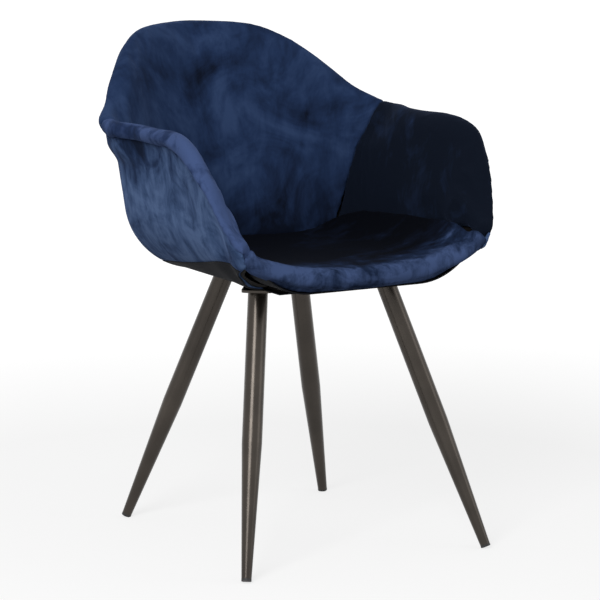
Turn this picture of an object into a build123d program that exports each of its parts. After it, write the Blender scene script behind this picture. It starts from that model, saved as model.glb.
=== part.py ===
from build123d import *
from collections import namedtuple
from math import asin, atan2, cos, degrees, radians, sin, sqrt, tan
import os

# Upholstered tub armchair on four splayed, tapered steel legs.
# Millimetres and degrees. Origin on the floor under the middle of the chair, front towards -Y.

# Tub: the rim is the inner edge of the rolled edge, from the middle of the back round to the arm toe
back_rim_z = 811.0
back_rim_y = 295.0
shoulder_drop = 57.0
arm_rim_z = 679.0
arm_overhang = 43.0
toe_rim_z = 534.0
toe_rim_y = -293.0
crease_z = 463.0
underside_z = 433.0
lip_length = 40.0
wall_crown = 3.0
wall_crown_share = 12.0

# Layers of the tub wall, from the sitter outwards, and the slack left between two layers
cover_thickness = 1.8
foam_thickness = 14.0
shell_thickness = 5.0
wadding_thickness = 4.0
slack = 0.35
shell_top_share = 0.97

# Blocks that only cut other solids: how far they reach past the chair's wall and past its outline
surround_margin = 30.0
cutter_reach = 40.0
cutter_size = 3000.0

# Where the sewn panels meet
lip_seam_share = 0.35
side_seam_rim = (14.0, 221.0, 9.0)
side_seam_heading = 25.0
hem_gap_angle = 0.5
hem_lap = 6.0
lip_seam_gap_share = 0.02

# Front of the tub's underside, cut off along a slope that rises to the toes
front_trim_y = -180.0
front_trim_angle = 26.5

# Screws through the shell's lower edge into the seat pan
edge_knee = 2.0
screw_diameter = 4.0
screw_head_diameter = 8.0
screw_length = 10.0
screw_play = 0.1
screw_inset = 7.0
screw_sink = 0.8
screw_headings = (90, 10, 0, -8)

# Seat: bent plywood pan, foam, cover with a rolled front edge, leg board
seat_half_width = 197.0
seat_gap = 3.5
seat_corner_gap = 15.0
seat_front_y = -308.87
seat_front_z = 474.0
seat_middle_z = 466.0
seat_low_z = 447.0
nose_radius = 12.0
pan_thickness = 6.0
pan_side_margin = 99.0
pan_flat_half_width = seat_half_width - pan_side_margin
pan_bend_radius = 116.0
pan_bend_angle = 41.0
pan_front_y = -272.0
pan_lap = 18.0
pan_rear_margin = 29.0
pan_rear_radius = seat_half_width - pan_rear_margin
pan_front_radius = 70.0
pan_overhang_slope = 0.4
seat_hem = 8.0
board_side_margin = 85.0
board_half_width = seat_half_width - board_side_margin
board_front_y = -232.0
board_rear_gap = 8.0
board_rear_radius = 90.0
board_front_radius = 12.0
bottom_margin = 7.0
bottom_rear_radius = 36.0
bottom_front_gap = 2.0

# Legs: foot and top centres on the right-hand side
front_foot = (seat_half_width + 24.0, -310.0)
front_top = (seat_half_width - 80.4, -159.9)
rear_foot = (seat_half_width - 6.0, 168.0)
rear_top = (seat_half_width - 129.4, 39.5)
tube_diameter = 32.0
foot_diameter = 16.0
tube_wall = 2.0
taper_length = 217.0
glide_thickness = 4.0
glide_stem_length = 14.0
glide_stem_clearance = 0.1
floor_facet = 0.8

# Leg plates and their bolts
plate_thickness = 4.0
plate_inner_reach = 68.0
plate_outer_reach = 22.0
plate_width = 50.0
plate_corner_radius = 8.0
bolt_diameter = 6.0
bolt_clearance = 0.6
bolt_head_width = 10.0
bolt_head_height = 4.0
bolt_places = ((-40.0, 12.0), (-40.0, -12.0), (-58.0, 0.0))
washer_diameter = 12.0
washer_thickness = 1.6
tee_flange_diameter = 18.0
tee_flange_thickness = 1.5
tee_barrel_diameter = 8.0
tee_fit = 0.1

# Derived places and levels
arm_rim_x = seat_half_width + arm_overhang
shoulder_z = back_rim_z - shoulder_drop
tub_thickness = 2 * cover_thickness + foam_thickness + shell_thickness + wadding_thickness + 4 * slack
roll_radius = tub_thickness / 2
wadding_depth = cover_thickness + slack
shell_depth = wadding_depth + wadding_thickness + slack
foam_depth = shell_depth + shell_thickness + slack
pan_z = underside_z + foam_depth
board_z = underside_z + wadding_depth
bottom_z = underside_z - slack / 2
plate_z = bottom_z - plate_thickness

# Stations: rim point, heading and lean of the wall, height of the crease, flare of the lip, radius of
# the bend under the seat, place of the shell's lower edge from the start of that bend, angle of the hem
Station = namedtuple("Station", "x y z heading lean crease flare bend edge hem")
stations = [
    Station(0, back_rim_y, back_rim_z, 90, 22, crease_z, 10, 66, -30, 42),
    Station(arm_rim_x - 126, back_rim_y - 44, back_rim_z - 10, 80, 20, crease_z + 1, 10, 76, -22, 40),
    Station(arm_rim_x - 60, back_rim_y - 119, shoulder_z, 57, 14, crease_z + 8, 16, 93, 16, 32),
    Station(arm_rim_x - 24, back_rim_y - 171, arm_rim_z + 25, 27, 9, crease_z + 22, 26, 110, 20, 28),
    Station(arm_rim_x - 2, toe_rim_y + 355, arm_rim_z + 3, 10, 8, crease_z + 42, 44, 136, 22, 30),
    Station(arm_rim_x + 2, toe_rim_y + 241, arm_rim_z + 2, 0, 8, crease_z + 50, 48, 138, 20, 40),
    Station(arm_rim_x + 8, toe_rim_y + 151, arm_rim_z + 2, -3, 12, crease_z + 59, 44, 135, 20, 49),
    Station(arm_rim_x + 11, toe_rim_y + 87, arm_rim_z - 17, -8, 15, crease_z + 65, 36, 130, 14, 56),
    Station(arm_rim_x - 4, toe_rim_y + 43, toe_rim_z + 80, -15, 19, crease_z + 67, 24, 120, 10, 60),
    Station(arm_rim_x - 21, toe_rim_y + 17, toe_rim_z + 31, -22, 18, crease_z + 65, 9, 106, 0, 62),
    Station(arm_rim_x - 36, toe_rim_y, toe_rim_z, -32, 14, crease_z + 58, 6, 92, -4, 62),
]
main_tub = [s._replace(x=-s.x, heading=180 - s.heading) for s in reversed(stations[1:])] + stations


def with_midpoints(rows):
    """Rows with one more halfway between each two, so that lofts of several layers follow one run."""
    before = [3 * (a - b) + c for a, b, c in zip(*rows[:3])]
    after = [3 * (a - b) + c for a, b, c in zip(*rows[:-4:-1])]
    run = [before] + rows + [after]
    filled = [rows[0]]
    for index, row in enumerate(rows[1:]):
        neighbours = zip(*run[index : index + 4])
        filled.append(row._make((9 * (b + c) - a - d) / 16 for a, b, c, d in neighbours))
        filled.append(row)
    return filled


tub = with_midpoints(main_tub)


class Profile:
    """Upright section of the tub wall at one station, in (outward, height) measured from the rim."""

    def __init__(self, station):
        self.station = station
        self.lip = min(lip_length, (station.z - station.crease) / 2)
        self.lip_radius = self.lip / radians(station.flare)
        self.lip_centre = self.step((0, station.z), self.normal(1), self.lip_radius)
        self.tangent = station.bend * tan(radians(90 - station.lean) / 2)
        outer = self.lip_point(0, tub_thickness)
        self.corner = outer[0] - (outer[1] - underside_z) * tan(radians(station.lean))
        self.bend_centre = (self.corner - self.tangent, underside_z + station.bend)

    def normal(self, share):
        """Direction out of the wall, from the foot of the lip (0) to the rim (1)."""
        angle = radians(self.station.lean + share * self.station.flare)
        return cos(angle), -sin(angle)

    def step(self, point, direction, distance):
        return point[0] + direction[0] * distance, point[1] + direction[1] * distance

    def lip_point(self, share, depth):
        """A point of the lip, at a depth behind the sitter's face."""
        return self.step(self.lip_centre, self.normal(share), depth - self.lip_radius)

    def roll_point(self, depth, radius):
        """A point of the rolled edge, on a circle about the middle of the wall."""
        middle = self.lip_point(1, roll_radius)
        across = depth - roll_radius
        out = self.normal(1)
        point = self.step(middle, out, across)
        return self.step(point, (-out[1], out[0]), sqrt(radius**2 - across**2))

    def crease_point(self, depth):
        """The foot of the sitter's face, where it meets the seat."""
        top = self.lip_point(0, 0)
        drop = top[1] - self.station.crease
        foot = (top[0] - drop * tan(radians(self.station.lean)), self.station.crease)
        return self.step(foot, self.normal(0), depth)

    def crown_point(self, depth):
        foot = self.crease_point(depth)
        top = self.lip_point(0, depth)
        middle = ((foot[0] + top[0]) / 2, (foot[1] + top[1]) / 2)
        crown = min(wall_crown, (top[1] - foot[1]) / wall_crown_share)
        return self.step(middle, self.normal(0), -crown)

    def bend_point(self, angle, inset):
        """A point of the bend under the seat, at an inset from the outer face."""
        reach = self.station.bend - inset
        return (
            self.bend_centre[0] + reach * sin(radians(angle)),
            self.bend_centre[1] - reach * cos(radians(angle)),
        )

    def bend_end(self):
        return 90 - self.station.lean

    def bend_angle(self, reach):
        """Angle of a point of the bend whose distance from the bend's start is given."""
        return degrees(asin(max(0, reach) / self.station.bend))

    def under_point(self, reach, inset):
        """A point under the seat: on the bend, or on the flange inside the bend's start."""
        point = self.bend_point(self.bend_angle(reach), inset)
        return point[0] + min(0, reach), point[1]

    def foam_foot(self):
        """Where the foam ends on the shell, square behind the crease or on the bend."""
        foot = self.crease_point(cover_thickness + slack)
        angle = degrees(atan2(foot[0] - self.bend_centre[0], self.bend_centre[1] - foot[1]))
        if angle < self.bend_end():
            return self.bend_point(angle, foam_depth)
        return self.crease_point(tub_thickness - foam_depth)

    def place(self, point):
        """A section point in the chair's frame."""
        turn = radians(self.station.heading)
        return (
            self.station.x + point[0] * cos(turn),
            self.station.y + point[0] * sin(turn),
            point[1],
        )

    def wire(self, runs):
        return closed_wire([[self.place(point) for point in run] for run in runs])


def closed_wire(runs):
    """Runs of two points are lines and runs of three are arcs."""
    edges = []
    for run in runs:
        if len(run) == 2:
            edges.append(Edge.make_line(*run))
        else:
            edges.append(Edge.make_three_point_arc(*run))
    return Wire(edges)


def inner_cover_section(profile):
    """Sewn inner cover: sitter's face, over the rolled edge and down to the lip seam."""
    face, back = 0, cover_thickness
    seam = 1 - lip_seam_share
    inner_radius = roll_radius - cover_thickness
    quarter = roll_radius / sqrt(2)
    inner_quarter = inner_radius / sqrt(2)
    return profile.wire(
        [
            [profile.crease_point(face), profile.crown_point(face), profile.lip_point(0, face)],
            [profile.lip_point(0, face), profile.lip_point(0.5, face), profile.lip_point(1, face)],
            [
                profile.lip_point(1, face),
                profile.roll_point(roll_radius - quarter, roll_radius),
                profile.roll_point(roll_radius, roll_radius),
            ],
            [
                profile.roll_point(roll_radius, roll_radius),
                profile.roll_point(roll_radius + quarter, roll_radius),
                profile.lip_point(1, tub_thickness),
            ],
            [
                profile.lip_point(1, tub_thickness),
                profile.lip_point((1 + seam) / 2, tub_thickness),
                profile.lip_point(seam, tub_thickness),
            ],
            [profile.lip_point(seam, tub_thickness), profile.lip_point(seam, tub_thickness - back)],
            [
                profile.lip_point(seam, tub_thickness - back),
                profile.lip_point((1 + seam) / 2, tub_thickness - back),
                profile.lip_point(1, tub_thickness - back),
            ],
            [
                profile.lip_point(1, tub_thickness - back),
                profile.roll_point(roll_radius + inner_quarter, inner_radius),
                profile.roll_point(roll_radius, inner_radius),
            ],
            [
                profile.roll_point(roll_radius, inner_radius),
                profile.roll_point(roll_radius - inner_quarter, inner_radius),
                profile.lip_point(1, back),
            ],
            [profile.lip_point(1, back), profile.lip_point(0.5, back), profile.lip_point(0, back)],
            [profile.lip_point(0, back), profile.crown_point(back), profile.crease_point(back)],
            [profile.crease_point(back), profile.crease_point(face)],
        ]
    )


def foam_section(profile):
    """Wall foam, from the crease to the top of the rolled edge."""
    face = cover_thickness + slack
    back = tub_thickness - foam_depth
    radius = roll_radius - face
    quarter = radius / sqrt(2)
    far = tub_thickness - face
    return profile.wire(
        [
            [profile.crease_point(face), profile.crown_point(face), profile.lip_point(0, face)],
            [profile.lip_point(0, face), profile.lip_point(0.5, face), profile.lip_point(1, face)],
            [
                profile.lip_point(1, face),
                profile.roll_point(roll_radius - quarter, radius),
                profile.roll_point(roll_radius, radius),
            ],
            [
                profile.roll_point(roll_radius, radius),
                profile.roll_point(roll_radius + quarter, radius),
                profile.lip_point(1, far),
            ],
            [profile.lip_point(1, far), profile.lip_point(1, back)],
            [profile.lip_point(1, back), profile.lip_point(0.5, back), profile.lip_point(0, back)],
            [profile.lip_point(0, back), profile.foam_foot()],
            [profile.foam_foot(), profile.crease_point(face)],
        ]
    )


def bend_run(profile, inset, start, end):
    return [profile.bend_point(angle, inset) for angle in (start, (start + end) / 2, end)]


def lip_run(profile, inset, start, end):
    depth = tub_thickness - inset
    return [profile.lip_point(share, depth) for share in (start, (start + end) / 2, end)]


def outer_runs(profile, inset):
    """Outer side of the wall at an inset, from the hem on the bend up to the lip seam."""
    end = profile.bend_end()
    foot = profile.lip_point(0, tub_thickness - inset)
    return [
        bend_run(profile, inset, profile.station.hem, end),
        [profile.bend_point(end, inset), foot],
        lip_run(profile, inset, 0, 1 - lip_seam_share - lip_seam_gap_share),
    ]


def reverse(runs):
    return [run[::-1] for run in reversed(runs)]


def ring_wire(profile, outer, inner):
    """Outline of a layer between its outer and inner sides, closed at both ends."""
    far_end = [outer[-1][-1], inner[-1][-1]]
    near_end = [inner[0][0], outer[0][0]]
    return profile.wire(outer + [far_end] + reverse(inner) + [near_end])


def under_runs(profile, inset, edge, end):
    """From an edge under the seat to an angle of the bend."""
    knee = profile.bend_angle(edge) + edge_knee
    flat = [profile.under_point(edge, inset), profile.bend_point(knee, inset)]
    return [flat, bend_run(profile, inset, knee, end)]


def walled_section(profile, near, far):
    """A layer from the lower edge under the seat, round the bend and up to the rim."""
    sides = []
    for inset in (near, far):
        end = profile.bend_end()
        wall = [profile.bend_point(end, inset), profile.lip_point(0, tub_thickness - inset)]
        lip = lip_run(profile, inset, 0, shell_top_share)
        sides.append(under_runs(profile, inset, profile.station.edge, end) + [wall, lip])
    return ring_wire(profile, *sides)


def shell_section(profile):
    return walled_section(profile, shell_depth, shell_depth + shell_thickness)


def wadding_section(profile):
    return walled_section(profile, wadding_depth, wadding_depth + wadding_thickness)


def surround_section(profile):
    """All the room from the shell's inner face outwards, for shaping what lies inside the tub."""
    return walled_section(profile, -surround_margin, foam_depth - slack / 2)


def outer_cover_section(profile):
    """Outer panel, from the hem on the bend up to the lip seam."""
    return ring_wire(profile, outer_runs(profile, 0), outer_runs(profile, cover_thickness))


def hem_section(profile):
    """Edge of the bottom cover, from inside the shell's lower edge out to the hem of the outer panels."""
    edge = profile.station.edge - hem_lap
    end = profile.station.hem - hem_gap_angle
    return ring_wire(profile, *[under_runs(profile, inset, edge, end) for inset in (0, cover_thickness)])


def cutter(align):
    return Box(cutter_size, cutter_size, cutter_size, align=align)


def round_tub(section):
    return Solid.make_loft([section(Profile(station)) for station in tub])


def front_trim():
    """All the room under the slope that cuts off the front of the tub's underside."""
    turn = radians(front_trim_angle)
    slope = Plane(origin=(0, front_trim_y, underside_z), x_dir=(1, 0, 0), z_dir=(0, -sin(turn), -cos(turn)))
    return slope * cutter((Align.CENTER, Align.CENTER, Align.MIN))


def crease_of(station):
    """Where the sitter's face of the wall meets the seat."""
    profile = Profile(station)
    return profile.place(profile.crease_point(0))


def side_seam_zone():
    """Everything in front of the seam between the back panel and the right arm panel."""
    inwards, forwards, upwards = side_seam_rim
    rim = Vector(arm_rim_x - inwards, back_rim_y - forwards, arm_rim_z + upwards)
    foot = Vector(*crease_of(stations[3]))
    out = Vector(cos(radians(side_seam_heading)), sin(radians(side_seam_heading)), 0)
    facing = (rim - foot).cross(out).normalized()
    block = Plane(origin=foot, x_dir=out, z_dir=facing) * cutter((Align.CENTER, Align.CENTER, Align.MAX))
    return block & cutter((Align.MIN, Align.CENTER, Align.CENTER))


def split_panels(layer):
    """Back, left and right pieces of a layer that runs round the tub."""
    right_zone = side_seam_zone()
    left_zone = right_zone.mirror(Plane.YZ)
    return layer - right_zone - left_zone, layer & left_zone, layer & right_zone


# Seat sections stand in planes across X: crease behind, middle, top and foot of the rolled front edge
SeatCut = namedtuple("SeatCut", "x rear_y rear_z middle_z front_y front_z low_z")


def seat_cut(station, middle_rise, setback, front_rise, low_rise):
    """The seat's section through the foot of the wall at a station."""
    x, y, z = crease_of(station)
    rear_y = y - seat_gap / sin(radians(station.heading))
    middle_z = seat_middle_z + middle_rise
    front_z = seat_front_z + front_rise
    return SeatCut(x, rear_y, z, middle_z, seat_front_y + setback, front_z, seat_low_z + low_rise)


corner_y = crease_of(stations[4])[1] - seat_corner_gap
half_seat = [
    seat_cut(stations[0], 0, 0, 0, 0)._replace(x=0),
    seat_cut(stations[1], 3, 1, 4, 4),
    seat_cut(stations[2], 9, 4, 12, 13),
    seat_cut(stations[3], 27, 8, 26, 28),
    SeatCut(
        seat_half_width,
        corner_y,
        crease_z + 43,
        seat_middle_z + 52,
        seat_front_y + 12,
        seat_front_z + 48,
        seat_low_z + 40,
    ),
]
seat_cuts = with_midpoints([cut._replace(x=-cut.x) for cut in reversed(half_seat[1:])] + half_seat)


def pan_top(x):
    """Height of the pan's upper face, and of the foam that runs on past its edge."""
    radius = pan_bend_radius - pan_thickness
    across = abs(x) - pan_flat_half_width
    edge = radius * sin(radians(pan_bend_angle))
    if across <= 0:
        return pan_z + pan_thickness
    if across <= edge:
        return pan_z + pan_bend_radius - sqrt(radius**2 - across**2)
    return pan_z + pan_bend_radius - sqrt(radius**2 - edge**2) + (across - edge) * pan_overhang_slope


def seat_edge(cut, inset):
    """Seat top and rolled front edge at an inset: an arc, a quarter circle, a line, a quarter circle."""
    radius = nose_radius - inset
    brow_z = cut.front_z - nose_radius
    chin_z = cut.low_z + nose_radius
    lean = radius / sqrt(2)
    middle_y = (cut.rear_y + cut.front_y) / 2

    def at(y, z):
        return cut.x, y, z

    top = [
        at(cut.rear_y, cut.rear_z - inset),
        at(middle_y, cut.middle_z - inset),
        at(cut.front_y, cut.front_z - inset),
    ]
    brow = [top[2], at(cut.front_y - lean, brow_z + lean), at(cut.front_y - radius, brow_z)]
    face = [brow[2], at(cut.front_y - radius, chin_z)]
    chin = [face[1], at(cut.front_y - lean, chin_z - lean), at(cut.front_y, chin_z - radius)]
    return [top, brow, face, chin]


def seat_cover_section(cut):
    outer = seat_edge(cut, 0)
    inner = seat_edge(cut, cover_thickness)
    low = outer[-1][-1]
    high = inner[-1][-1]
    low_hem = (low[0], low[1] + seat_hem, low[2])
    high_hem = (high[0], high[1] + seat_hem, high[2])
    hem = [[low, low_hem], [low_hem, high_hem], [high_hem, high]]
    return closed_wire(outer + hem + reverse(inner) + [[inner[0][0], outer[0][0]]])


def seat_foam_section(cut):
    edge = seat_edge(cut, cover_thickness + 2 * slack)
    chin = edge[-1][-1]
    low_z = min(pan_top(cut.x) - pan_thickness, chin[2] - slack)
    behind_hem = (cut.x, chin[1] + seat_hem + slack, chin[2])
    front_low = (cut.x, behind_hem[1], low_z)
    rear_low = (cut.x, cut.rear_y, low_z)
    underside = [[chin, behind_hem], [behind_hem, front_low], [front_low, rear_low]]
    return closed_wire(edge + underside + [[rear_low, edge[0][0]]])


back_edge = Profile(stations[0])
back_edge_y = back_edge.place(back_edge.under_point(stations[0].edge, 0))[1]
pan_rear_y = back_edge_y + pan_lap
board_rear_y = back_edge_y - board_rear_gap


def pan_outline(inset):
    """Across the pan: from the middle of its upper or lower face to its bent-up edge."""
    radius = pan_bend_radius - inset
    centre_z = pan_z + pan_bend_radius
    flat_end = (pan_flat_half_width, pan_z + inset)

    def bent(angle):
        turn = radians(angle)
        return pan_flat_half_width + radius * sin(turn), centre_z - radius * cos(turn)

    return flat_end, bent(pan_bend_angle / 2), bent(pan_bend_angle)


def across(points):
    return [(x, 0, z) for x, z in points]


def mirrored(points):
    return [(-x, z) for x, z in points]


def extrude_along_y(runs, front, rear):
    face = Face(closed_wire([across(run) for run in runs]))
    return Pos(0, front, 0) * extrude(face, amount=rear - front, dir=(0, 1, 0))


def pan_runs(low, high):
    """Outline across the pan, or across a layer that follows it."""
    return [
        [mirrored(low[:1])[0], low[0]],
        list(low),
        [low[2], high[2]],
        list(high)[::-1],
        [high[0], mirrored(high[:1])[0]],
        mirrored(high),
        [mirrored(high)[2], mirrored(low)[2]],
        mirrored(low)[::-1],
    ]


def seat_pan():
    low = pan_outline(0)
    pan = extrude_along_y(pan_runs(low, pan_outline(pan_thickness)), pan_front_y, pan_rear_y)
    width = 2 * low[2][0] + pan_thickness
    depth = pan_rear_y - pan_front_y
    outline = Pos(0, (pan_rear_y + pan_front_y) / 2, pan_z) * Box(width, depth, 2 * pan_bend_radius)
    return pan & round_corners(outline, pan_front_radius, pan_rear_radius)


def below_pan():
    """All the room under the pan's upper face, for shaping the foam that lies on it."""
    high = pan_outline(pan_thickness)
    reach = seat_half_width + cutter_reach
    floor = underside_z - cutter_reach
    edge = (reach, pan_top(reach))
    corner = (reach, floor)
    runs = [
        [mirrored([high[0]])[0], high[0]],
        list(high),
        [high[2], edge],
        [edge, corner],
        [corner, mirrored([corner])[0]],
        mirrored([corner, edge]),
        mirrored([edge, high[2]]),
        mirrored(list(high)[::-1]),
    ]
    return extrude_along_y(runs, pan_front_y, back_rim_y)


def round_corners(block, front_radius, rear_radius):
    block = fillet(block.edges().filter_by(Axis.Z).group_by(Axis.Y)[0], front_radius)
    return fillet(block.edges().filter_by(Axis.Z).group_by(Axis.Y)[-1], rear_radius)


def leg_board():
    depth = board_rear_y - board_front_y
    height = pan_z - board_z
    block = Box(2 * board_half_width, depth, height)
    block = Pos(0, (board_rear_y + board_front_y) / 2, (pan_z + board_z) / 2) * block
    return round_corners(block, board_front_radius, board_rear_radius)


def bottom_cover():
    """Cloth under the seat: under the leg board, up its front, under the pan and out along the bends."""
    front_face = board_front_y - slack
    face = front_face - cover_thickness
    rear = board_rear_y + bottom_margin
    thickness = board_z - slack - bottom_z
    sheet = Box(2 * (board_half_width + bottom_margin), rear - face, thickness)
    sheet = Pos(0, (rear + face) / 2, bottom_z + thickness / 2) * sheet
    sheet = fillet(sheet.edges().filter_by(Axis.Z).group_by(Axis.Y)[-1], bottom_rear_radius)
    riser = Pos(0, face, bottom_z) * Box(
        2 * pan_flat_half_width,
        cover_thickness,
        pan_z - 2 * slack - bottom_z,
        align=(Align.CENTER, Align.MIN, Align.MIN),
    )
    high = pan_outline(-2 * slack)
    low = pan_outline(-2 * slack - cover_thickness)
    front = seat_front_y + seat_hem + bottom_front_gap
    under_pan = extrude_along_y(pan_runs(low, high), front, front_face)
    return round_tub(hem_section) - front_trim() + sheet + riser + under_pan


def upright(x, y, z, radius, height):
    return Pos(x, y, z) * Cylinder(radius, height, align=(Align.CENTER, Align.CENTER, Align.MIN))


# Legs
Leg = namedtuple("Leg", "name foot top")
legs = []
for side, sign in (("left", -1), ("right", 1)):
    for end, foot, top in (("front", front_foot, front_top), ("rear", rear_foot, rear_top)):
        legs.append(Leg(f"{side}_{end}_leg", (sign * foot[0], foot[1]), (sign * top[0], top[1])))


def leg_frame(leg):
    """Plane across the sole of the foot, facing up the leg, with X in the upright plane of the leg."""
    run = Vector(leg.top[0] - leg.foot[0], leg.top[1] - leg.foot[1], 0)
    tilt = atan2(run.length, plate_z)
    sole_z = foot_diameter / 2 * sin(tilt) - floor_facet
    sole = Vector(leg.foot[0], leg.foot[1], sole_z)
    top = Vector(leg.top[0], leg.top[1], plate_z)
    return Plane(origin=sole, x_dir=run.cross(Vector(0, 0, 1)), z_dir=top - sole), (top - sole).length


def leg_tube(leg):
    """Tapered steel tube, cut level where it is welded to its plate."""
    frame, length = leg_frame(leg)
    foot_radius = foot_diameter / 2
    radius = tube_diameter / 2
    top = length + tube_diameter
    outline = Polyline(
        (foot_radius, 0, glide_thickness),
        (radius, 0, taper_length),
        (radius, 0, top),
        (radius - tube_wall, 0, top),
        (radius - tube_wall, 0, taper_length),
        (foot_radius - tube_wall, 0, glide_thickness),
        close=True,
    )
    tube = frame * revolve(make_face(outline), Axis.Z)
    return tube - Pos(0, 0, plate_z) * cutter((Align.CENTER, Align.CENTER, Align.MIN))


def foot_glide(leg):
    """Plastic plug in the end of the tube, worn to a small flat where it stands on the floor."""
    frame, _ = leg_frame(leg)
    foot_radius = foot_diameter / 2
    stem_radius = foot_radius - tube_wall - glide_stem_clearance
    cap = Cylinder(foot_radius, glide_thickness, align=(Align.CENTER, Align.CENTER, Align.MIN))
    stem = upright(0, 0, glide_thickness, stem_radius, glide_stem_length)
    return frame * (cap + stem) - cutter((Align.CENTER, Align.CENTER, Align.MAX))


def plate_frame(leg):
    """Level frame on the leg's top centre with X pointing outwards along the splay."""
    run = Vector(leg.foot[0] - leg.top[0], leg.foot[1] - leg.top[1], 0)
    return Plane(origin=(leg.top[0], leg.top[1], 0), x_dir=run, z_dir=(0, 0, 1))


def bolt_points(leg):
    points = []
    for place in bolt_places:
        point = plate_frame(leg).from_local_coords(Vector(place[0], place[1], 0))
        points.append((point.X, point.Y))
    return points


def leg_plate(leg):
    length = plate_inner_reach + plate_outer_reach
    middle = (plate_outer_reach - plate_inner_reach) / 2
    blank = Pos(middle, 0, plate_z + plate_thickness / 2) * Box(length, plate_width, plate_thickness)
    blank = fillet(blank.edges().filter_by(Axis.Z), plate_corner_radius)
    return plate_frame(leg) * blank - bolt_holes([leg], bolt_diameter + bolt_clearance)


def bolt_holes(some_legs, diameter):
    low = plate_z - bolt_head_height
    height = pan_z + pan_thickness - low + tee_flange_thickness
    return [upright(x, y, low, diameter / 2, height) for leg in some_legs for x, y in bolt_points(leg)]


def bolt(x, y):
    head_top = plate_z - washer_thickness
    head = extrude(RegularPolygon(bolt_head_width / 2, 6, major_radius=False), amount=bolt_head_height)
    head = Pos(x, y, head_top - bolt_head_height) * head
    return head + upright(x, y, head_top, bolt_diameter / 2, pan_z + pan_thickness - head_top)


def washer(x, y):
    ring = upright(x, y, plate_z - washer_thickness, washer_diameter / 2, washer_thickness)
    bore = upright(x, y, plate_z - washer_thickness, (bolt_diameter + bolt_clearance) / 2, washer_thickness)
    return ring - bore


def tee_nut(x, y):
    top = pan_z + pan_thickness
    flange = upright(x, y, top - tee_flange_thickness, tee_flange_diameter / 2, tee_flange_thickness)
    barrel = upright(x, y, pan_z, tee_barrel_diameter / 2, pan_thickness - tee_flange_thickness)
    return flange + barrel - upright(x, y, pan_z, bolt_diameter / 2 + tee_fit, pan_thickness)


def tee_seat(x, y):
    """Room for a tee nut in the pan, open above."""
    low = pan_z + pan_thickness - tee_flange_thickness
    counterbore = upright(x, y, low, tee_flange_diameter / 2 + tee_fit, pan_thickness)
    return counterbore + upright(x, y, plate_z, tee_barrel_diameter / 2 + tee_fit, low - plate_z)


def screw_points():
    """Just inside the shell's lower edge, at the middle of the back and along the arms."""
    points = []
    for station in main_tub:
        if station.heading in screw_headings or 180 - station.heading in screw_headings:
            profile = Profile(station)
            spot = profile.under_point(station.edge + screw_inset, shell_depth + screw_sink)
            points.append(profile.place(spot))
    return points


def shell_screw(point):
    """Countersunk screw up through the shell into the pan."""
    return screw_body(point, 0)


def screw_body(point, play):
    x, y, z = point
    head_height = (screw_head_diameter - screw_diameter) / 2
    head = Pos(x, y, z) * Cone(
        screw_head_diameter / 2 + play,
        screw_diameter / 2 + play,
        head_height,
        align=(Align.CENTER, Align.CENTER, Align.MIN),
    )
    return head + upright(x, y, z, screw_diameter / 2 + play, screw_length + play)


def screw_hole(point):
    """Room for a screw, open below its sunk head."""
    x, y, z = point
    mouth = upright(x, y, z - shell_thickness, screw_head_diameter / 2 + screw_play, shell_thickness)
    return screw_body(point, screw_play) + mouth


# Put the chair together
bolt_spots = [spot for leg in legs for spot in bolt_points(leg)]
screw_holes = [screw_hole(point) for point in screw_points()]
through_holes = bolt_holes(legs, bolt_diameter + bolt_clearance)
surround = round_tub(surround_section)
parts = {
    "tub_shell": round_tub(shell_section) - front_trim() - screw_holes,
    "seat_pan": seat_pan() - screw_holes - [tee_seat(x, y) for x, y in bolt_spots],
    "leg_board": leg_board() - through_holes,
    "seat_foam": Solid.make_loft([seat_foam_section(cut) for cut in seat_cuts]) - below_pan() - surround,
    "seat_cover": Solid.make_loft([seat_cover_section(cut) for cut in seat_cuts]),
    "bottom_cover": bottom_cover() - through_holes,
}
layers = (
    (round_tub(foam_section), ("back_foam", "left_arm_foam", "right_arm_foam")),
    (round_tub(wadding_section) - front_trim(), ("back_wadding", "left_arm_wadding", "right_arm_wadding")),
    (round_tub(inner_cover_section), ("back_cover", "left_arm_cover", "right_arm_cover")),
    (
        round_tub(outer_cover_section) - front_trim(),
        ("outer_back_cover", "left_outer_cover", "right_outer_cover"),
    ),
)
for layer, names in layers:
    parts.update(zip(names, split_panels(layer)))
for leg in legs:
    parts[leg.name] = leg_tube(leg)
    parts[f"{leg.name}_plate"] = leg_plate(leg)
    parts[f"{leg.name}_glide"] = foot_glide(leg)
parts["leg_bolts"] = Compound([bolt(x, y) for x, y in bolt_spots])
parts["leg_washers"] = Compound([washer(x, y) for x, y in bolt_spots])
parts["tee_nuts"] = Compound([tee_nut(x, y) for x, y in bolt_spots])
parts["shell_screws"] = Compound([shell_screw(point) for point in screw_points()])

os.makedirs("parts", exist_ok=True)
for name, shape in parts.items():
    export_step(shape, f"parts/{name}.step")
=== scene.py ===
import math

import bmesh
import bpy
import numpy as np
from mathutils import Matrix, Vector, noise
from mathutils.bvhtree import BVHTree


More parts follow.
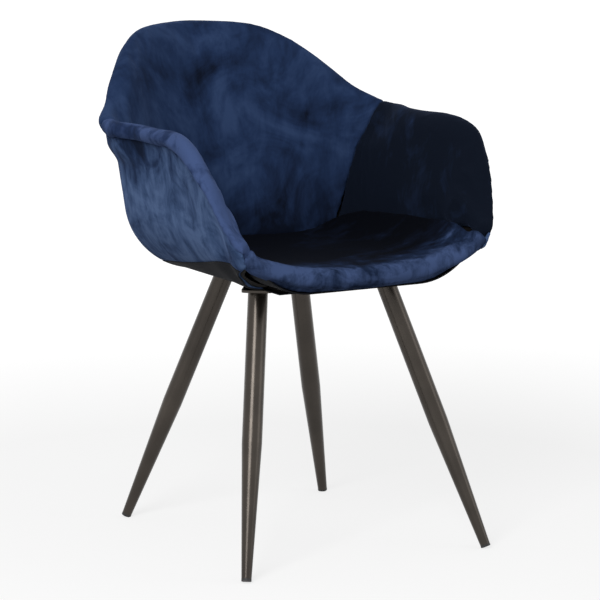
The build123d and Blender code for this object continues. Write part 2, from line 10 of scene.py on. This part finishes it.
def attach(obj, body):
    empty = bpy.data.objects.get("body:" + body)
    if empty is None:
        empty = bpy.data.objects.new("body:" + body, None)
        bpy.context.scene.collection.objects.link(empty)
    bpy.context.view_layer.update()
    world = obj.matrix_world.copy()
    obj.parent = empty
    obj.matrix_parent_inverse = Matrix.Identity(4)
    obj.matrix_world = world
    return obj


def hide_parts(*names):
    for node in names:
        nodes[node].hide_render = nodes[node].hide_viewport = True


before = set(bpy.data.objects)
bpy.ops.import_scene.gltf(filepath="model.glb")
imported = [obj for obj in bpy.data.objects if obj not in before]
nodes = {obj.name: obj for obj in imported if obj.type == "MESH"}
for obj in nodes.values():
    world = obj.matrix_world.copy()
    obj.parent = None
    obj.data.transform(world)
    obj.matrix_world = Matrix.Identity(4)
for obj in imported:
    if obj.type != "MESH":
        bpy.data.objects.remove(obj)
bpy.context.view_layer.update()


# Legs and their plates: straight steel tube above, drawn down to a slim foot below, welded to a flat
# plate and powder coated together in a satin dark bronze.
leg_names = [f"{side}_{end}_leg" for side in ("left", "right") for end in ("front", "rear")]


def start_material(name):
    """A new node material, its node tree and its main shader."""
    material = bpy.data.materials.new(name)
    material.use_nodes = True
    return material, material.node_tree, material.node_tree.nodes["Principled BSDF"]


def add_node(tree, kind, **settings):
    """A shader node with its sockets or properties set by name."""
    node = tree.nodes.new("ShaderNode" + kind)
    for key, value in settings.items():
        if key in node.inputs:
            node.inputs[key].default_value = value
        else:
            setattr(node, key, value)
    return node


def set_inputs(node, values):
    """Set sockets whose names have spaces."""
    for socket, value in values.items():
        node.inputs[socket].default_value = value


def add_noise(tree, scale, stretch=(1, 1, 1), shift=(0, 0, 0), **settings):
    """Noise in the piece's own coordinates, drawn out along its axes."""
    place = add_node(tree, "TexCoord")
    mapping = add_node(tree, "Mapping", Scale=stretch, Location=shift)
    pattern = add_node(tree, "TexNoise", Scale=scale, **settings)
    tree.links.new(place.outputs["Object"], mapping.inputs["Vector"])
    tree.links.new(mapping.outputs["Vector"], pattern.inputs["Vector"])
    return pattern.outputs["Fac"]


def add_ramp(tree, pattern, target, tones, stops=(0.3, 0.7)):
    """Tones at stops along a pattern, led to a shader's socket."""
    ramp = add_node(tree, "ValToRGB")
    elements = ramp.color_ramp.elements
    while len(elements) < len(tones):
        elements.new(0.5)
    for element, position, tone in zip(elements, stops, tones):
        element.position = position
        element.color = (*tone, 1)
    tree.links.new(pattern, ramp.inputs["Fac"])
    tree.links.new(ramp.outputs["Color"], target)


def add_bump(tree, shader, height, strength, distance):
    """Fine relief from a pattern."""
    bump = add_node(tree, "Bump", Strength=strength, Distance=distance)
    tree.links.new(height, bump.inputs["Height"])
    tree.links.new(bump.outputs["Normal"], shader.inputs["Normal"])


coat_tones = ((0.044, 0.037, 0.031), (0.064, 0.054, 0.045))
coat_gloss = ((0.20,) * 3, (0.27,) * 3)
bronze, tree, shader = start_material("bronze_powder_coat")
add_ramp(tree, add_noise(tree, scale=14, Detail=3), shader.inputs["Base Color"], coat_tones)
add_ramp(tree, add_noise(tree, scale=60, Detail=4), shader.inputs["Roughness"], coat_gloss)
shader.inputs["Metallic"].default_value = 0.7
add_bump(tree, shader, add_noise(tree, scale=1300, Detail=2), strength=0.12, distance=0.0003)
for name in leg_names:
    nodes[name].data.materials[0] = bronze
    nodes[f"{name}_plate"].data.materials[0] = bronze


# Glides: black polyethylene plugs pressed into the open ends of the tubes, matt, and a little scuffed
# where they stand on the floor.
glide_tones = ((0.010, 0.010, 0.011), (0.032, 0.031, 0.030))
glide_plastic, tree, shader = start_material("glide_plastic")
scuffs = add_noise(tree, scale=420, Detail=5)
add_ramp(tree, scuffs, shader.inputs["Base Color"], glide_tones, stops=(0.35, 0.75))
shader.inputs["Roughness"].default_value = 0.6
add_bump(tree, shader, scuffs, strength=0.2, distance=0.0003)
for name in leg_names:
    nodes[f"{name}_glide"].data.materials[0] = glide_plastic


# Fasteners: zinc-plated hexagon bolts and washers under the plates, tee nuts in the pan and screws
# in the shell's flange.
zinc_tones = ((0.42, 0.43, 0.45), (0.60, 0.61, 0.62))
zinc_gloss = ((0.28,) * 3, (0.48,) * 3)
zinc, tree, shader = start_material("zinc_plate")
zinc_bloom = add_noise(tree, scale=700, Detail=4)
add_ramp(tree, zinc_bloom, shader.inputs["Base Color"], zinc_tones)
add_ramp(tree, zinc_bloom, shader.inputs["Roughness"], zinc_gloss)
shader.inputs["Metallic"].default_value = 1.0
for name in ("leg_bolts", "leg_washers", "tee_nuts", "shell_screws"):
    nodes[name].data.materials[0] = zinc


# Frame inside the upholstery: shell of back and arms, seat pan and leg board, bent or flat birch
# plywood. Its near-black colour is painted shade where it shows in the joints between the pads.
# Near-black tones: painted shade in the joints between the pads; the grain is the wood's own
plywood_shade_tones = ((0.0030, 0.0026, 0.0024), (0.0080, 0.0066, 0.0058))
plywood, tree, shader = start_material("plywood")
grain = add_noise(tree, scale=9, stretch=(9, 1, 9), Detail=7, Distortion=0.4)
add_ramp(tree, grain, shader.inputs["Base Color"], plywood_shade_tones)
set_inputs(shader, {"Roughness": 0.9, "Specular IOR Level": 0.15})
add_bump(tree, shader, grain, strength=0.15, distance=0.0005)
for name in ("tub_shell", "seat_pan", "leg_board"):
    nodes[name].data.materials[0] = plywood


# Seat: one velvet panel over foam on the bent pan, with a rolled front edge that runs on at both ends
# to the toes of the arms. It is stapled under the pan and tucked against the tub all round.
weld_gap = 1e-5
pad_voxel = 0.0045
hold_reach = 0.005
stuffing_pressure = 4
swell_frames = 20
seat_swell = 0.005
roll_radius = 0.0130
# The rolled edge's middle line, out from the middle of the seat to the end of the arm's toe
roll_half = [
    (0.000, -0.2965, 0.4605),
    (0.092, -0.2955, 0.4645),
    (0.138, -0.2925, 0.4730),
    (0.177, -0.2900, 0.4860),
    (0.201, -0.2920, 0.4990),
    (0.213, -0.2980, 0.5110),
]
tuck_out, tuck_back, tuck_up = 0.005, 0.007, 0.010
# Seat velvet tones, darker than the other panels' as painted shade; the lightest come up only as painted
# light on the rolled front edge
seat_tones = (
    (0.0017, 0.0022, 0.0042),
    (0.0044, 0.0070, 0.0165),
    (0.0135, 0.0250, 0.0620),
    (0.0620, 0.1000, 0.2250),
)


def joined(meshes):
    """One open shape that holds several meshes."""
    shape = bmesh.new()
    for mesh in meshes:
        shape.from_mesh(mesh)
    return shape


def node_meshes(node_names):
    return [nodes[name].data for name in node_names]


def new_piece(name, shape):
    """A piece of its own from an open shape."""
    mesh = bpy.data.meshes.new(name)
    shape.to_mesh(mesh)
    shape.free()
    piece = bpy.data.objects.new(name, mesh)
    bpy.context.scene.collection.objects.link(piece)
    return piece


def copy_of_nodes(name, *node_names):
    """A new piece from the merged meshes of CAD nodes."""
    shape = joined(node_meshes(node_names))
    bmesh.ops.remove_doubles(shape, verts=shape.verts, dist=weld_gap)
    return new_piece(name, shape)


def take_in(piece, mesh):
    """Add a mesh to a piece's own."""
    shape = joined((piece.data, mesh))
    shape.to_mesh(piece.data)
    shape.free()


def result_mesh(piece):
    """The piece's mesh with its modifiers or its bevel applied."""
    graph = bpy.context.evaluated_depsgraph_get()
    return bpy.data.meshes.new_from_object(piece.evaluated_get(graph))


def keep_result(piece):
    mesh = result_mesh(piece)
    piece.modifiers.clear()
    piece.data = mesh


def remesh(piece, voxel):
    """Cover the piece with an even grid of small faces."""
    even = piece.modifiers.new("even", "REMESH")
    even.mode = "VOXEL"
    even.voxel_size = voxel
    keep_result(piece)


def relax(piece, rounds):
    """Even out the mesh; each round's second step gives back what the first one shrank."""
    shape = joined([piece.data])
    for step in (0.5, -0.52) * rounds:
        bmesh.ops.smooth_vert(
            shape, verts=shape.verts, factor=step, use_axis_x=True, use_axis_y=True, use_axis_z=True
        )
    shape.to_mesh(piece.data)
    shape.free()


def points_of(mesh):
    flat = np.empty(len(mesh.vertices) * 3, np.float32)
    mesh.vertices.foreach_get("co", flat)
    return flat.reshape(-1, 3)


def set_points(mesh, points):
    mesh.vertices.foreach_set("co", points.astype(np.float32).ravel())
    mesh.update()


def surface_of(*node_names):
    """The surfaces of CAD nodes, to look up what lies near."""
    shape = joined(node_meshes(node_names))
    surface = BVHTree.FromBMesh(shape)
    shape.free()
    return surface


def held_points(piece, *node_names):
    """Which points lie on what the cover is sewn, glued or stapled to."""
    anchor = surface_of(*node_names)
    return [anchor.find_nearest(vertex.co, hold_reach)[0] is not None for vertex in piece.data.vertices]


def inflate(piece, held, cap):
    """Let the stuffing swell the cover between the places where it is held down."""
    group = piece.vertex_groups.new(name="held")
    group.add([index for index, fast in enumerate(held) if fast], 1.0, "REPLACE")
    start = points_of(piece.data)
    cloth = piece.modifiers.new("stuffing", "CLOTH")
    cloth.settings.vertex_group_mass = group.name
    cloth.settings.use_pressure = True
    cloth.settings.uniform_pressure_force = stuffing_pressure
    cloth.settings.effector_weights.gravity = 0
    cloth.settings.quality = 3
    cloth.collision_settings.use_collision = False
    cloth.point_cache.frame_end = swell_frames
    for number in range(1, swell_frames + 1):
        bpy.context.scene.frame_set(number)
    keep_result(piece)
    swell = points_of(piece.data) - start
    length = np.linalg.norm(swell, axis=1, keepdims=True)
    set_points(piece.data, start + swell * np.minimum(1, cap / np.maximum(length, 1e-9)))
    bpy.context.scene.frame_set(1)


def finish_cover(piece):
    for face in piece.data.polygons:
        face.use_smooth = True
    fine = piece.modifiers.new("fine", "SUBSURF")
    fine.levels = fine.render_levels = 1
    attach(piece, "root")


def ease(values, low, high):
    """0 below low, 1 above high and a soft step between; low may be the larger."""
    share = np.clip((values - low) / (high - low), 0, 1)
    return share * share * (3 - 2 * share)


def velvet(name, shift, tones, axis, dim, bright, lift, patch, sheen):
    """Navy cut velvet: fine pile, nap brushed in patches and strokes, painted shade towards dim, painted
    light towards bright.
    """
    material, tree, shader = start_material(name)
    patches = add_noise(tree, patch, shift=shift, Detail=5, Roughness=0.58, Distortion=0.9)
    strokes = add_noise(
        tree, scale=26, stretch=(1.5, 1.5, 0.45), shift=shift, Detail=5, Roughness=0.65, Distortion=0.4
    )
    nap = add_node(tree, "Math", operation="MULTIPLY_ADD")
    nap.inputs[1].default_value = 0.5
    tree.links.new(strokes, nap.inputs[0])
    tree.links.new(patches, nap.inputs[2])
    place = add_node(tree, "TexCoord")
    parts = add_node(tree, "SeparateXYZ")
    tree.links.new(place.outputs["Object"], parts.inputs["Vector"])
    # Painted light and shade: a smooth ramp along one of the piece's own axes, from dim to bright, added
    # to the nap
    painted_light_ramp = add_node(tree, "MapRange", interpolation_type="SMOOTHSTEP")
    set_inputs(painted_light_ramp, {"From Min": dim, "From Max": bright, "To Min": -0.3, "To Max": lift})
    tree.links.new(parts.outputs[axis], painted_light_ramp.inputs["Value"])
    nap_and_painted_light = add_node(tree, "Math", operation="ADD")
    tree.links.new(nap.outputs["Value"], nap_and_painted_light.inputs[0])
    tree.links.new(painted_light_ramp.outputs["Result"], nap_and_painted_light.inputs[1])
    add_ramp(tree, nap_and_painted_light.outputs["Value"], shader.inputs["Base Color"], tones, (0.50, 0.64, 0.78, 0.94))
    set_inputs(shader, {"Roughness": 0.85, "Specular IOR Level": 0.03})
    set_inputs(shader, {"Sheen Weight": sheen, "Sheen Roughness": 0.4})
    shader.inputs["Sheen Tint"].default_value = (0.35, 0.50, 0.95, 1)
    add_bump(tree, shader, add_noise(tree, scale=1500, Detail=3), strength=0.25, distance=0.0006)
    return material


seat = copy_of_nodes("seat", "seat_cover", "seat_foam")
roll_line = bpy.data.curves.new("roll_line", "CURVE")
roll_line.dimensions = "3D"
roll_line.bevel_depth = roll_radius
roll_line.bevel_resolution = 6
roll_line.use_fill_caps = True
run = roll_line.splines.new("NURBS")
route = [(-x, y, z) for x, y, z in reversed(roll_half[1:])] + roll_half
run.points.add(len(route) - 1)
for point, place in zip(run.points, route):
    point.co = (*place, 1)
run.order_u = 3
run.use_endpoint_u = True
roll = bpy.data.objects.new("roll", roll_line)
bpy.context.scene.collection.objects.link(roll)
take_in(seat, result_mesh(roll))
bpy.data.objects.remove(roll)
remesh(seat, pad_voxel)
relax(seat, rounds=4)
held = held_points(seat, "seat_pan", "back_foam", "left_arm_foam", "right_arm_foam")
inflate(seat, held, seat_swell)
relax(seat, rounds=2)
# The tucked edges press against the arms and the back
tucked = points_of(seat.data)
x, y = tucked.T[:2].copy()
edge = ease(np.abs(x), 0.140, 0.195)
tucked[:, 0] += tuck_out * np.sign(x) * edge
tucked[:, 1] += tuck_back * ease(y, 0.030, 0.110)
tucked[:, 2] += tuck_up * edge * ease(y, -0.290, -0.230)
set_points(seat.data, tucked)
# Painted shade deep in the seat towards the back and painted light on the rolled front edge, along Y
seat_velvet = velvet(
    "seat_velvet", shift=(1.3, 0.2, 0.7), tones=seat_tones,
    axis="Y", dim=-0.14, bright=-0.40, lift=0.25, patch=8, sheen=0.01,
)
seat.data.materials.append(seat_velvet)
finish_cover(seat)
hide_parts("seat_cover", "seat_foam")


# Back and arms: three velvet panels sewn edge to edge over the wall foam, drawn over the rolled edge
# and sewn to the outer panels under it. At the toes the arms' panels close over the shell's front end.
wall_swell = 0.004
toe_start = -0.265
roll_out, arm_up, crown_up = 0.014, 0.006, 0.003
toe_down, toe_forward = 0.012, 0.003
foot_down, foot_height = 0.008, 0.030
back_foot_top, arm_foot_top = 0.510, 0.555
back_tones = (
    (0.0060, 0.0095, 0.0220),
    (0.0120, 0.0230, 0.0600),
    (0.0195, 0.0390, 0.1020),
    (0.0340, 0.0630, 0.1500),
)
# Arm velvet tones; the lightest come up as painted light on the left arm
arm_tones = (
    (0.0060, 0.0092, 0.0180),
    (0.0110, 0.0190, 0.0440),
    (0.0200, 0.0370, 0.1000),
    (0.0650, 0.1050, 0.2450),
)


def add_toe(panel, side):
    """Take the shell's front end into an arm's panel."""
    toe = joined(node_meshes(["tub_shell"]))
    bmesh.ops.remove_doubles(toe, verts=toe.verts, dist=weld_gap)
    for point, outwards in (((0, toe_start, 0), (0, 1, 0)), ((0, 0, 0), (-side, 0, 0))):
        parts = toe.verts[:] + toe.edges[:] + toe.faces[:]
        bmesh.ops.bisect_plane(toe, geom=parts, plane_co=point, plane_no=outwards, clear_outer=True)
    bmesh.ops.holes_fill(toe, edges=[edge for edge in toe.edges if edge.is_boundary], sides=0)
    toe_mesh = bpy.data.meshes.new("toe")
    toe.to_mesh(toe_mesh)
    toe.free()
    take_in(panel, toe_mesh)


def pull_in_place(panel):
    """The roll stands up and, behind the arms, out; at the toes it dips to the seat's rolled edge."""
    points = points_of(panel.data)
    x, y, z = points.T.copy()
    out = np.abs(x)
    behind = (
        ease(y, -0.020, 0.050) * ease(y, 0.160, 0.105) * ease(z, 0.610, 0.645) * ease(z, 0.725, 0.680)
    )
    points[:, 0] += roll_out * np.sign(x) * ease(out, 0.19, 0.23) * behind
    points[:, 2] += arm_up * ease(z, 0.620, 0.670) * ease(out, 0.20, 0.24) * ease(y, 0.100, 0.020)
    points[:, 2] += crown_up * ease(z, 0.740, 0.790)
    points[:, 2] -= toe_down * ease(y, -0.245, -0.295) * ease(z, 0.495, 0.540)
    points[:, 1] -= toe_forward * ease(y, -0.270, -0.295) * ease(out, 0.17, 0.20)
    set_points(panel.data, points)


wall_nodes = ["tub_shell", "seat_foam", "seat_pan"]
for prefix in ("back", "left_arm", "right_arm"):
    wall_nodes += [f"{prefix}_cover", f"{prefix}_wadding"]
wall_nodes += ["outer_back_cover", "left_outer_cover", "right_outer_cover"]
# Back velvet: painted shade low on the back by the seat, lighter upwards to z 0.64
back_velvet = velvet(
    "back_velvet", shift=(0.4, 2.1, 0.3), tones=back_tones,
    axis="Z", dim=0.40, bright=0.64, lift=0.05, patch=8, sheen=0.10,
)
# Arm velvet: painted shade on the right arm and painted light on the left one, along X
arm_velvet = velvet(
    "arm_velvet", shift=(3.1, 0.7, 1.2), tones=arm_tones,
    axis="X", dim=0.12, bright=-0.20, lift=0.16, patch=9, sheen=0.10,
)
for prefix, side in (("back", 0), ("left_arm", -1), ("right_arm", 1)):
    panel = copy_of_nodes(f"{prefix}_panel", f"{prefix}_cover", f"{prefix}_foam")
    if side:
        add_toe(panel, side)
    remesh(panel, pad_voxel)
    relax(panel, rounds=4)
    others = [name for name in wall_nodes if name != f"{prefix}_cover"]
    inflate(panel, held_points(panel, *others), wall_swell)
    relax(panel, rounds=2)
    # The lower edge is drawn down behind the seat
    drawn = points_of(panel.data)
    y, z = drawn.T[1:].copy()
    foot_top = arm_foot_top if side else back_foot_top
    drawn[:, 2] -= foot_down * ease(z, foot_top, foot_top - foot_height) * ease(y, -0.280, -0.240)
    set_points(panel.data, drawn)
    pull_in_place(panel)
    panel.data.materials.append(arm_velvet if side else back_velvet)
    finish_cover(panel)
    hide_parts(f"{prefix}_cover", f"{prefix}_foam")


# Outer panels: velvet over wadding on the outside of the shell, eased into the seam under the rolled
# edge with small puckers, and stapled at the bend under the seat.
outer_voxel = 0.003
pucker_length = 0.04
fold_pitch, fold_depth, seam_depth = 0.0016, 0.0011, 0.0016
# Outer velvet tones, lighter than the inner panels' as painted light on the outside of the chair
outer_tones = (
    (0.0075, 0.0130, 0.0320),
    (0.0210, 0.0400, 0.1000),
    (0.0570, 0.1010, 0.2180),
    (0.1120, 0.1800, 0.3500),
)


def pucker(panel, inner_covers):
    """Short folds that fade away from the seam."""
    points = points_of(panel.data)
    outwards = np.array([vertex.normal for vertex in panel.data.vertices])
    for index, place in enumerate(map(Vector, points.tolist())):
        distance = inner_covers.find_nearest(place, pucker_length)[3]
        if distance is None:
            continue
        fade = (1 - distance / pucker_length) ** 2
        along = place.z - 0.8 * place.y
        fold = math.sin(along / fold_pitch + 5 * noise.noise(place * 20))
        depth = fold_depth * max(0, noise.noise(place * 9) + 0.25)
        points[index] += outwards[index] * fade * (fold * depth - seam_depth * fade)
    set_points(panel.data, points)


# Outer velvet: darker upwards as painted shadow under the rolled edge, painted light low on the panels,
# along Z
outer_velvet = velvet(
    "outer_velvet", shift=(2.7, 1.1, 1.9), tones=outer_tones,
    axis="Z", dim=0.80, bright=0.55, lift=0.08, patch=15, sheen=0.12,
)
inner_covers = surface_of("back_cover", "left_arm_cover", "right_arm_cover")
for cover, wadding in (
    ("outer_back_cover", "back_wadding"),
    ("left_outer_cover", "left_arm_wadding"),
    ("right_outer_cover", "right_arm_wadding"),
):
    panel = copy_of_nodes(cover.replace("cover", "panel"), cover, wadding)
    remesh(panel, outer_voxel)
    relax(panel, rounds=4)
    pucker(panel, inner_covers)
    pull_in_place(panel)
    panel.data.materials.append(outer_velvet)
    finish_cover(panel)
    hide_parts(cover, wadding)


# Bottom cover: near-black woven cloth that closes the chair from below, stretched under the seat and
# stapled round its edge.
lining_tones = ((0.006, 0.0065, 0.008), (0.018, 0.019, 0.023))
lining, tree, shader = start_material("lining")
weave = add_noise(tree, scale=900, stretch=(1, 1, 0.2), Detail=3)
add_ramp(tree, weave, shader.inputs["Base Color"], lining_tones)
set_inputs(shader, {"Roughness": 0.85, "Specular IOR Level": 0.1})
add_bump(tree, shader, weave, strength=0.3, distance=0.0005)
bottom = copy_of_nodes("bottom_cloth", "bottom_cover")
bottom.data.materials.append(lining)
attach(bottom, "root")
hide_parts("bottom_cover")


# Studio: seamless white floor and surround, a large soft lamp on the left and a weaker one on the right.
# The floor shows white to the eye and to polished metal, and still takes the chair's shadow.
floor_reach = 25
shadow_reach, white_reach = 0.8, 2.6
shadow_glow, white_glow = 0.74, 1.0
surround_light, surround_white = 0.38, 1.0
lamp_aim = Vector((0, 0, 0.5))


def add_seen(tree):
    """1 for rays from the camera, mirrored rays and rays through glass, else 0."""
    path = add_node(tree, "LightPath")
    total = path.outputs["Is Camera Ray"]
    for kind in ("Is Glossy Ray", "Is Transmission Ray"):
        either = add_node(tree, "Math", operation="MAXIMUM")
        tree.links.new(total, either.inputs[0])
        tree.links.new(path.outputs[kind], either.inputs[1])
        total = either.outputs["Value"]
    return total


floor_shape = bmesh.new()
bmesh.ops.create_grid(floor_shape, x_segments=1, y_segments=1, size=floor_reach)
floor = new_piece("floor", floor_shape)
floor_paint, tree, shader = start_material("floor_paint")
set_inputs(shader, {"Base Color": (0.30, 0.30, 0.30, 1), "Emission Color": (1, 1, 1, 1)})
set_inputs(shader, {"Roughness": 0.9, "Specular IOR Level": 0.0})
place = add_node(tree, "TexCoord")
away = add_node(tree, "VectorMath", operation="LENGTH")
tree.links.new(place.outputs["Object"], away.inputs[0])
white = add_node(tree, "MapRange")
set_inputs(white, {"From Min": shadow_reach, "From Max": white_reach})
set_inputs(white, {"To Min": shadow_glow, "To Max": white_glow})
tree.links.new(away.outputs["Value"], white.inputs["Value"])
glow = add_node(tree, "Math", operation="MULTIPLY")
tree.links.new(add_seen(tree), glow.inputs[0])
tree.links.new(white.outputs["Result"], glow.inputs[1])
tree.links.new(glow.outputs["Value"], shader.inputs["Emission Strength"])
floor.data.materials.append(floor_paint)

world = bpy.data.worlds.new("studio")
bpy.context.scene.world = world
world.use_nodes = True
tree = world.node_tree
strength = add_node(tree, "MapRange")
set_inputs(strength, {"To Min": surround_light, "To Max": surround_white})
tree.links.new(add_seen(tree), strength.inputs["Value"])
sky = tree.nodes["Background"]
sky.inputs["Color"].default_value = (1, 1, 1, 1)
tree.links.new(strength.outputs["Result"], sky.inputs["Strength"])

for name, place, size, power in (
    ("key", (-2.6, -2.2, 2.6), 1.8, 80),
    ("fill", (2.8, -2.4, 1.6), 1.8, 12),
):
    lamp = bpy.data.lights.new(name, "AREA")
    lamp.size = size
    lamp.energy = power
    holder = bpy.data.objects.new(name, lamp)
    holder.location = place
    holder.rotation_euler = (lamp_aim - Vector(place)).to_track_quat("-Z", "Y").to_euler()
    bpy.context.scene.collection.objects.link(holder)

lens = bpy.data.cameras.new("camera")
lens.sensor_width = 36
lens.lens = 189.96
lens.clip_end = 100
camera = bpy.data.objects.new("camera", lens)
camera.location = (-2.5003, -4.4976, 1.2814)
camera.rotation_euler = (math.radians(80.06), 0, math.radians(-29.56))
bpy.context.scene.collection.objects.link(camera)
bpy.context.scene.camera = camera
bpy.context.scene.view_settings.view_transform = "Standard"
